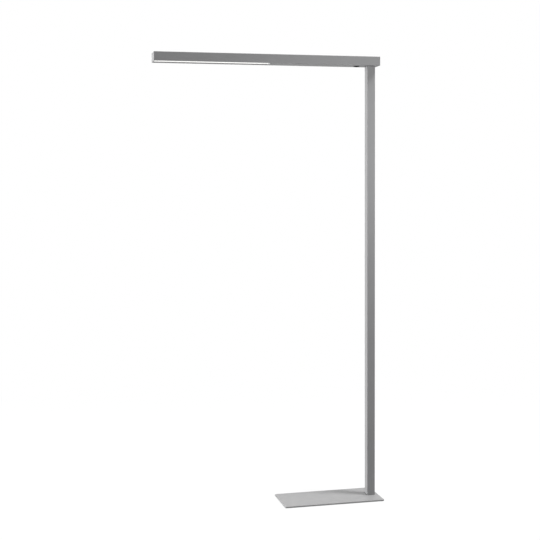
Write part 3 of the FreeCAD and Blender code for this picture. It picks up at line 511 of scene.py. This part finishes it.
add_finish("lead_sheath", (0.66, 0.66, 0.65), (0.40, 0.52), grain=0.2 * MM,
           depth=0.008 * MM, patch=0.01, drift=0.04)
add_finish("board", (0.72, 0.73, 0.72), (0.28, 0.36), grain=0.4 * MM,
           depth=0.004 * MM, patch=0.03, drift=0.02)
add_finish("diode", (0.82, 0.72, 0.26), (0.25, 0.35), grain=0.2 * MM,
           depth=0.004 * MM, patch=0.003, drift=0.05)
print("finishes so far", len(finishes))


# %% Opal sheets
OPAL_WHITE = (0.72, 0.72, 0.715)
LAMP_WHITE = (1.0, 0.99, 0.97, 1)
LIT_GLOW = 0.66


def add_opal(name, glow):
    add_finish(name, OPAL_WHITE, (0.30, 0.38), grain=0.3 * MM, depth=0.003 * MM, patch=0.15,
               drift=0.006, dust=0.04)
    shader = finishes[name].node_tree.nodes["Principled BSDF"]
    shader.inputs["Emission Color"].default_value = LAMP_WHITE
    shader.inputs["Emission Strength"].default_value = glow


add_opal("opal", 0.0)
add_opal("opal_lit", LIT_GLOW)
slot_of = {row["node"]: row["material_slot"] for row in frame["record"]["subparts"]}
print("finishes", len(finishes), "for", len(set(slot_of.values())), "slots")

# %% [markdown]
# ## Dressing the solids
#
# The CAD meshes are already the right shape, so pieces that are hidden or have no edge worth
# softening only need a finish.  Assigning it to the object's material slot leaves the mesh itself
# untouched.  Every solid gets one here, also those that a finer piece stands for later, because
# the finer piece starts as a copy.

# %% A finish for every solid
for node, piece in frame["nodes"].items():
    finish = finishes["opal_lit" if node == "down_diffuser" else slot_of[node]]
    for material_slot in piece.material_slots:
        material_slot.material = finish
    if not piece.material_slots:
        piece.data.materials.append(finish)
print("dressed", len(frame["nodes"]), "solids")

# %% [markdown]
# ## Softened edges
#
# Nothing cut from metal or moulded in plastic ends in a perfectly sharp edge.  A real edge is
# broken by a file, by tumbling or by the paint, and the narrow band that results is what catches
# the light and draws a thin bright line round the piece.  A renderer can fake it with a Bevel
# node, which only bends the shading, but the line then vanishes in an exported model.  A Bevel
# modifier makes a real band, so that is used here, on a merged copy of the CAD mesh.
#
# Smooth shading would then bend the light across the flat faces as well, and they would look
# dented near each edge and hole.  A Weighted Normal modifier lets the largest face at a corner
# decide how it is shaded, so flat faces stay flat and only the narrow band turns.

# %% A new piece that stands for a solid
body_of = {}
for body, members in frame["record"]["behaviour"]["bodies"].items():
    for member in members:
        body_of[member] = body
print("nodes on the button", [node for node in body_of if body_of[node] == "button"])


def stand_for(name, mesh, node):
    """Makes mesh a piece that is shown in the place of a CAD node."""
    piece = bpy.data.objects.new(name, mesh)
    bpy.context.scene.collection.objects.link(piece)
    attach(piece, body_of[node])
    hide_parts(node)
    return piece


def plain_mesh(maker):
    """What an object's modifiers make of it, as a plain mesh.  The object itself goes."""
    graph = bpy.context.evaluated_depsgraph_get()
    mesh = bpy.data.meshes.new_from_object(maker.evaluated_get(graph))
    bpy.data.objects.remove(maker)
    return mesh


# %% Soften
MERGE = 0.002 * MM
FLAT_ENOUGH = math.radians(0.3)         # between triangles that are one face
SHARP = math.radians(38)                # an edge that gets rounded
STILL_SHARP = math.radians(50)          # one that stays a crease after that
LARGE_FACES_FIRST = 90                  # of 100; 50 gives every face its plain share


def object_of(data):
    """A passing object that holds a mesh or curve while modifiers or a bevel work on it."""
    maker = bpy.data.objects.new("maker", data)
    bpy.context.scene.collection.objects.link(maker)
    return maker


def merged_copy(node):
    """A copy of a CAD mesh with its loose triangles joined into whole, smooth-shaded faces."""
    mesh = frame["nodes"][node].data.copy()
    skin = bmesh.new()
    skin.from_mesh(mesh)
    bmesh.ops.remove_doubles(skin, verts=skin.verts, dist=MERGE)
    bmesh.ops.dissolve_limit(skin, angle_limit=FLAT_ENOUGH, verts=skin.verts, edges=skin.edges)
    for face in skin.faces:
        face.smooth = True
    skin.to_mesh(mesh)
    skin.free()
    return mesh


def soften(node, width, steps=2):
    """Stands for a CAD node with the same shape, its sharp edges rounded by width."""
    maker = object_of(merged_copy(node))
    bevel = maker.modifiers.new("softened edges", "BEVEL")
    bevel.width = width
    bevel.segments = steps
    bevel.limit_method = "ANGLE"
    bevel.angle_limit = SHARP
    rounded = plain_mesh(maker)
    rounded.set_sharp_from_angle(angle=STILL_SHARP)
    maker = object_of(rounded)
    shading = maker.modifiers.new("flat faces stay flat", "WEIGHTED_NORMAL")
    shading.mode = "FACE_AREA"
    shading.weight = LARGE_FACES_FIRST
    shading.keep_sharp = True
    softened = plain_mesh(maker)
    piece = stand_for(node + "_softened", softened, node)
    print("%-28s %6d faces" % (piece.name, len(softened.polygons)))


# %% Soften the pieces whose edges show
EXTRUDED_EDGE = 0.15 * MM
PLATE_EDGE = 0.20 * MM
MOULDED_EDGE = 0.25 * MM

for node in ("head_profile", "column_profile", "end_cap_left", "end_cap_right", "underside_cover"):
    soften(node, EXTRUDED_EDGE)
soften("base_plate", PLATE_EDGE)
for node in ("control_bezel", "push_button", "cord_gland", "gland_nut", "top_cover",
             "down_diffuser", "foot_connector", "terminal_block", "led_driver", "foot_gasket",
             "top_gasket"):
    soften(node, MOULDED_EDGE)

# %% [markdown]
# ## Repeated pieces, made by Geometry Nodes
#
# Screws, diodes and the ribs of the feet repeat, so each is described once, as a node tree with
# named sizes, and instanced where the CAD model has such a piece.  Instancing by hand in Python
# would work too, but a tree can be opened afterwards and turned into another screw by changing
# a number.
#
# The trees read where to put things from a small mesh: one point for each solid of a CAD node,
# with the way it faces stored on it as an attribute.


# %% One point for each solid
def solids_of(node):
    """The (lowest, highest) corner of every separate solid in a CAD node."""
    skin = bmesh.new()
    skin.from_mesh(frame["nodes"][node].data)
    bmesh.ops.remove_doubles(skin, verts=skin.verts, dist=MERGE)
    unseen = set(skin.verts)
    boxes = []
    while unseen:
        reached = [unseen.pop()]
        island = []
        while reached:
            corner = reached.pop()
            island.append(corner.co.copy())
            for edge in corner.link_edges:
                other = edge.other_vert(corner)
                if other in unseen:
                    unseen.remove(other)
                    reached.append(other)
        low = Vector(min(point[i] for point in island) for i in range(3))
        high = Vector(max(point[i] for point in island) for i in range(3))
        boxes.append((low, high))
    skin.free()
    return sorted(boxes, key=lambda box: tuple(box[0]))


def middles(boxes):
    return [(low + high) / 2 for low, high in boxes]


def points_mesh(places):
    """A mesh of loose points.  places are (point, direction)."""
    mesh = bpy.data.meshes.new("places")
    mesh.from_pydata([point for point, _ in places], [], [])
    facing = mesh.attributes.new("facing", "FLOAT_VECTOR", "POINT")
    for item, (_, direction) in zip(facing.data, places):
        item.vector = direction
    return mesh


# %% A tree of geometry nodes
def new_tree(name, inputs):
    """A geometry tree with named inputs, (name, kind, value)."""
    tree = bpy.data.node_groups.new(name, "GeometryNodeTree")
    tree.interface.new_socket("Places", in_out="INPUT", socket_type="NodeSocketGeometry")
    for label, kind, value in inputs:
        socket = tree.interface.new_socket(label, in_out="INPUT", socket_type="NodeSocket" + kind)
        if value is not None:
            socket.default_value = value
    tree.interface.new_socket("Pieces", in_out="OUTPUT", socket_type="NodeSocketGeometry")
    tree.nodes.new("NodeGroupInput")
    tree.nodes.new("NodeGroupOutput")
    return tree


def joined(tree, *parts):
    """A Join Geometry node.  Its one socket lists the newest link first."""
    node = tree.nodes.new("GeometryNodeJoinGeometry")
    for part in reversed(parts):
        tree.links.new(part, node.inputs[0])
    return node.outputs[0]


def moved_up(tree, part, height):
    place = step(tree, "ShaderNodeCombineXYZ", {"Z": height})
    return step(tree, "GeometryNodeTransform", {"Geometry": part, "Translation": place})


def set_out(tree, places, part, spin=None):
    """Puts part on every place, its Z along the place's facing, turned about it by spin."""
    facing = step(tree, "GeometryNodeInputNamedAttribute", {"Name": "facing"}, "Attribute",
                  data_type="FLOAT_VECTOR")
    turn = step(tree, "FunctionNodeAlignRotationToVector", {"Vector": facing}, axis="Z")
    if spin:
        about = step(tree, "ShaderNodeCombineXYZ", {"Z": spin})
        own = step(tree, "FunctionNodeEulerToRotation", {"Euler": about})
        turn = step(tree, "FunctionNodeRotateRotation", {"Rotation": turn, "Rotate By": own},
                    rotation_space="LOCAL")
    spots = step(tree, "GeometryNodeMeshToPoints", {"Mesh": places})
    return step(tree, "GeometryNodeInstanceOnPoints",
                {"Points": spots, "Instance": part, "Rotation": turn})


def end_tree(tree, part, finish):
    """Makes the instances real, because an export drops them, and gives them their finish."""
    real = step(tree, "GeometryNodeRealizeInstances", {"Geometry": part})
    done = step(tree, "GeometryNodeSetMaterial", {"Geometry": real, "Material": finish})
    tree.links.new(done, tree.nodes["Group Output"].inputs[0])


def run_tree(tree, places, name, node, **values):
    """Runs tree over places and stands its result for a CAD node.  The modifier knows an input
    by its identifier and not by its name, so the tree is asked which is which."""
    maker = object_of(points_mesh(places))
    pieces = maker.modifiers.new("pieces", "NODES")
    pieces.node_group = tree
    for item in tree.interface.items_tree:
        label = item.name.replace(" ", "_").lower()
        if item.in_out == "INPUT" and label in values:
            pieces[item.identifier] = values.pop(label)
    if values:
        raise ValueError("no such inputs: %s" % sorted(values))
    mesh = plain_mesh(maker)
    print("%-24s %3d places %6d faces" % (name, len(places), len(mesh.polygons)))
    stand_for(name, mesh, node)


# %% [markdown]
# ### Screws
#
# A screw is a head, a shank and a thread, with a hexagonal socket sunk into the head.  The head
# is a cone frustum: a countersunk head narrows to the shank, and a pan head is nearly straight.
# The thread is a spiral curve with a small diamond swept along it.  Each screw stops at its own
# angle, so a random spin with a fixed seed turns them.

# %% The screw tree
SCREW_ROUND = 28                        # sides of a head and shank
THREAD_STEPS = 14                       # steps in each turn of the thread


def make_screw_tree():
    tree = new_tree("screws",
                    [("Face Radius", "Float", 0.0046), ("Seat Radius", "Float", 0.0022),
                     ("Head Start", "Float", 0.0), ("Head Height", "Float", 0.0024),
                     ("Shank Radius", "Float", 0.0022), ("Length", "Float", 0.02),
                     ("Socket Radius", "Float", 0.0016), ("Socket Depth", "Float", 0.0016),
                     ("Thread Pitch", "Float", 0.0008), ("Thread Depth", "Float", 0.0003),
                     ("Seed", "Int", 7), ("Finish", "Material", None)])
    given = tree.nodes["Group Input"].outputs
    head = step(tree, "GeometryNodeMeshCone",
                {"Vertices": SCREW_ROUND, "Radius Bottom": given["Face Radius"],
                 "Radius Top": given["Seat Radius"], "Depth": given["Head Height"]})
    head = moved_up(tree, head, given["Head Start"])
    socket = step(tree, "GeometryNodeMeshCylinder",
                  {"Vertices": 6, "Radius": given["Socket Radius"],
                   "Depth": maths(tree, "MULTIPLY", given["Socket Depth"], 2.0)})
    socket = moved_up(tree, socket, given["Head Start"])
    head = step(tree, "GeometryNodeMeshBoolean", {"Mesh 1": head, "Mesh 2": socket}, "Mesh",
                operation="DIFFERENCE")
    core_radius = maths(tree, "SUBTRACT", given["Shank Radius"], given["Thread Depth"])
    head_end = maths(tree, "ADD", given["Head Start"], given["Head Height"])
    shank_run = maths(tree, "SUBTRACT", given["Length"], head_end)
    shank = step(tree, "GeometryNodeMeshCone",
                 {"Vertices": SCREW_ROUND, "Radius Bottom": core_radius,
                  "Radius Top": core_radius, "Depth": shank_run})
    shank = moved_up(tree, shank, head_end)
    thread_run = maths(tree, "SUBTRACT", shank_run, given["Thread Pitch"])
    spiral = step(tree, "GeometryNodeCurveSpiral",
                  {"Resolution": THREAD_STEPS,
                   "Rotations": maths(tree, "DIVIDE", thread_run, given["Thread Pitch"]),
                   "Start Radius": core_radius, "End Radius": core_radius, "Height": thread_run})
    diamond = step(tree, "GeometryNodeCurvePrimitiveCircle",
                   {"Resolution": 4, "Radius": given["Thread Depth"]})
    thread = step(tree, "GeometryNodeCurveToMesh",
                  {"Curve": spiral, "Profile Curve": diamond, "Fill Caps": True})
    thread = moved_up(tree, thread, head_end)
    spin = step(tree, "FunctionNodeRandomValue", {"Max": math.tau, "Seed": given["Seed"]},
                "Value", data_type="FLOAT")
    screw = joined(tree, head, shank, thread)
    end_tree(tree, set_out(tree, given["Places"], screw, spin), given["Finish"])
    return tree


screw_tree = make_screw_tree()
print("screw tree with", len(screw_tree.nodes), "nodes")


# %% Screws where the solids have them
PAN_TAPER = 0.9                         # a pan head's face to its seat
SOCKET_RADIUS = 0.75                    # these four are shares of the shank's radius
SOCKET_DEPTH = 0.7
THREAD_PITCH = 0.36
THREAD_DEPTH = 0.13
UP, DOWN, INWARD, FORWARD = (0, 0, 1), (0, 0, -1), (1, 0, 0), (0, -1, 0)


def screw_places(node, direction):
    """The middle of each screw's face, and the way the screw points.  The caps' screws point
    inward from both ends."""
    places = []
    for low, high in solids_of(node):
        middle = (low + high) / 2
        along = Vector(direction)
        if direction == INWARD:
            along.x = math.copysign(1, -middle.x)
        reach = abs((high - low).dot(along)) / 2
        places.append((middle - along * reach, along))
    return places


def fit_screws(node, direction, shank_radius, head_height=None):
    """Threaded screws in the place of a node's plain ones.  A countersunk head is as high as its
    cone is wide, so only a pan head's height is given."""
    low, high = solids_of(node)[0]
    size = high - low
    face_radius = max(size[i] for i in range(3) if not direction[i]) / 2
    head = dict(face_radius=face_radius, seat_radius=shank_radius,
                head_height=face_radius - shank_radius)
    if head_height:
        head = dict(face_radius=face_radius * PAN_TAPER, seat_radius=face_radius,
                    head_height=head_height)
    run_tree(screw_tree, screw_places(node, direction), node + "_threaded", node,
             shank_radius=shank_radius, length=max(size),
             socket_radius=shank_radius * SOCKET_RADIUS, socket_depth=shank_radius * SOCKET_DEPTH,
             thread_pitch=shank_radius * THREAD_PITCH, thread_depth=shank_radius * THREAD_DEPTH,
             finish=finishes["screw_steel"], **head)


# node, the way it points, its shank's radius, and a pan head's height
fit_screws("foot_screws", UP, 2.2 * MM)
fit_screws("bracket_screw", UP, 1.9 * MM)
fit_screws("end_cap_screws", INWARD, 1.55 * MM)
fit_screws("head_screws", DOWN, 2.2 * MM, 2.8 * MM)
fit_screws("driver_screws", UP, 1.5 * MM, 2.0 * MM)
fit_screws("terminal_screw", UP, 1.5 * MM, 2.0 * MM)
fit_screws("connector_screw", FORWARD, 1.2 * MM, 1.2 * MM)

# %% [markdown]
# ### Ribbed feet
#
# The four rubber pads under the plate grip the floor with small ribs.  In the tree, a pad is a
# slab with a row of bars under it: a Mesh Line sets the bars out, and their number follows from
# the pad's side and the pitch.

# %% The pad tree
PAD_RIB = 0.5 * MM
PAD_PITCH = 2.4 * MM


def make_pad_tree():
    tree = new_tree("ribbed_pads",
                    [("Side", "Float", 0.024), ("Thickness", "Float", 0.0015),
                     ("Rib Height", "Float", 0.0005), ("Pitch", "Float", 0.0024),
                     ("Finish", "Material", None)])
    given = tree.nodes["Group Input"].outputs
    side, rib_height, pitch = given["Side"], given["Rib Height"], given["Pitch"]
    half_pitch = maths(tree, "MULTIPLY", pitch, 0.5)
    slab_height = maths(tree, "SUBTRACT", given["Thickness"], rib_height)
    slab_size = step(tree, "ShaderNodeCombineXYZ", {"X": side, "Y": side, "Z": slab_height})
    slab = step(tree, "GeometryNodeMeshCube", {"Size": slab_size})
    slab = moved_up(tree, slab, maths(tree, "MULTIPLY", rib_height, 0.5))
    rib_size = step(tree, "ShaderNodeCombineXYZ", {"X": half_pitch, "Y": side, "Z": rib_height})
    rib = step(tree, "GeometryNodeMeshCube", {"Size": rib_size})
    count = maths(tree, "FLOOR", maths(tree, "DIVIDE", side, pitch))
    first = maths(tree, "MULTIPLY", maths(tree, "SUBTRACT", 1.0, count), half_pitch)
    rib_level = maths(tree, "MULTIPLY", slab_height, -0.5)
    start = step(tree, "ShaderNodeCombineXYZ", {"X": first, "Z": rib_level})
    offset = step(tree, "ShaderNodeCombineXYZ", {"X": pitch})
    row = step(tree, "GeometryNodeMeshLine",
               {"Count": count, "Start Location": start, "Offset": offset})
    ribs = step(tree, "GeometryNodeInstanceOnPoints", {"Points": row, "Instance": rib})
    end_tree(tree, set_out(tree, given["Places"], joined(tree, slab, ribs)), given["Finish"])
    return tree


pad_boxes = solids_of("base_pads")
pad_size = pad_boxes[0][1] - pad_boxes[0][0]
run_tree(make_pad_tree(), [(place, UP) for place in middles(pad_boxes)], "base_pads_ribbed",
         "base_pads", side=pad_size.x, thickness=pad_size.z, rib_height=PAD_RIB, pitch=PAD_PITCH,
         finish=finishes["black_rubber"])

# %% [markdown]
# ### Diodes
#
# A light board carries one row of diodes.  Each is a white body with a yellow window: the yellow
# is phosphor, which turns the blue light of the chip white.  The tree sets two materials, one on
# the body and one on the window, before it joins them.

# %% The diode tree
BODY_SHARE = 0.8                        # of a diode's height; the window is the rest
WINDOW_SHARE = 0.72                     # of its length and width
add_finish("diode_body", (0.84, 0.84, 0.82), (0.30, 0.40), patch=2 * MM, drift=0.02)


def make_diode_tree():
    tree = new_tree("diodes",
                    [("Length", "Float", 0.0035), ("Width", "Float", 0.0028),
                     ("Height", "Float", 0.0008), ("Window Share", "Float", 0.7),
                     ("Body", "Material", None), ("Window", "Material", None)])
    given = tree.nodes["Group Input"].outputs
    length, width, height = given["Length"], given["Width"], given["Height"]

    def layer(along, across, share, level, finish):
        """A block share of the height thick, level of the height above the middle."""
        size = step(tree, "ShaderNodeCombineXYZ",
                    {"X": along, "Y": across, "Z": maths(tree, "MULTIPLY", height, share)})
        block = step(tree, "GeometryNodeMeshCube", {"Size": size})
        block = moved_up(tree, block, maths(tree, "MULTIPLY", height, level))
        return step(tree, "GeometryNodeSetMaterial", {"Geometry": block, "Material": finish})

    body = layer(length, width, BODY_SHARE, -(1 - BODY_SHARE) / 2, given["Body"])
    window = layer(maths(tree, "MULTIPLY", length, given["Window Share"]),
                   maths(tree, "MULTIPLY", width, given["Window Share"]),
                   1 - BODY_SHARE, BODY_SHARE / 2, given["Window"])
    diodes = set_out(tree, given["Places"], joined(tree, body, window))
    real = step(tree, "GeometryNodeRealizeInstances", {"Geometry": diodes})
    tree.links.new(real, tree.nodes["Group Output"].inputs[0])
    return tree


diode_tree = make_diode_tree()
for node, facing in (("down_leds", DOWN), ("up_leds", UP)):
    boxes = solids_of(node)
    diode_size = boxes[0][1] - boxes[0][0]
    run_tree(diode_tree, [(place, facing) for place in middles(boxes)], node + "_windowed", node,
             length=diode_size.x, width=diode_size.y, height=diode_size.z,
             window_share=WINDOW_SHARE, body=finishes["diode_body"], window=finishes["diode"])

# %% [markdown]
# ### Leads inside the lamp
#
# A lead is a round sheath that bends gently wherever it is pushed into a housing.  A skinned row
# of rings would do, but a curve is easier to judge and to change: each lead below is one NURBS
# spline, whose few control points are where the lead leaves a plug, turns or passes a hole.  With
# an order of 3 the spline runs along the legs between the points and rounds every corner by
# itself.  Its bevel gives it thickness, and then it becomes a plain mesh like everything else.
#
# The points are in millimetres in the lamp's own frame, like a wiring drawing: x along the head
# from its middle, y from front to back, and z up from the floor.

# %% Leads
LEAD_ORDER = 3
LEAD_ROUND = 4                          # how finely the sheath's section is divided
lead_points = {
    # node: radius, points (x, y, z)
    "mains_lead": (3.25, [(459, -7.2, 94), (459, -7.2, 139), (459, 0, 229), (459, 0, 1870),
                          (459, 0, 1931.3), (395, 0, 1931.3), (375, 0, 1931.3)]),
    "input_lead": (2.6, [(345, 0, 1931.3), (327.7, 0, 1931.3), (310.3, 0, 1927.5),
                         (293, 0, 1927.5)]),
    "downlight_lead": (1.5, [(33, 9, 1927.5), (20.9, 9, 1927.5), (8.8, 9, 1931.9),
                             (-3.3, 9, 1931.9)]),
    "uplight_lead": (1.5, [(293, -9, 1927.5), (310.3, -9, 1927.5), (327.7, -14.5, 1927.5),
                           (420, -14.5, 1927.5), (433.5, -14.5, 1927.5),
                           (433.5, -14.5, 1942.1), (413.6, -14.5, 1942.1)]),
    "control_lead": (1.5, [(394.5, 7, 1928.1), (388, 7, 1928.1), (381.5, 14.5, 1928.1),
                           (327.7, 14.5, 1928.1), (310.3, 9, 1927.5), (293, 9, 1927.5)]),
}


def lead_mesh(radius, points, finish):
    """A round sheath along points.  The order and the ends are set after the points are there,
    because a spline that has no points yet takes neither."""
    curve = bpy.data.curves.new("lead", "CURVE")
    curve.dimensions = "3D"
    curve.bevel_depth = radius * MM
    curve.bevel_resolution = LEAD_ROUND
    curve.use_fill_caps = True
    spline = curve.splines.new("NURBS")
    spline.points.add(len(points) - 1)
    for control_point, place in zip(spline.points, points):
        control_point.co = (*(Vector(place) * MM), 1)
    spline.order_u = LEAD_ORDER
    spline.use_endpoint_u = True
    sheath = plain_mesh(object_of(curve))
    sheath.materials.clear()
    sheath.materials.append(finish)
    return sheath


for node, (radius, points) in lead_points.items():
    sheath = lead_mesh(radius, points, finishes[slot_of[node]])
    piece = stand_for(node + "_sheath", sheath, node)
    print("%-24s %2d points %6d faces" % (piece.name, len(points), len(sheath.polygons)))
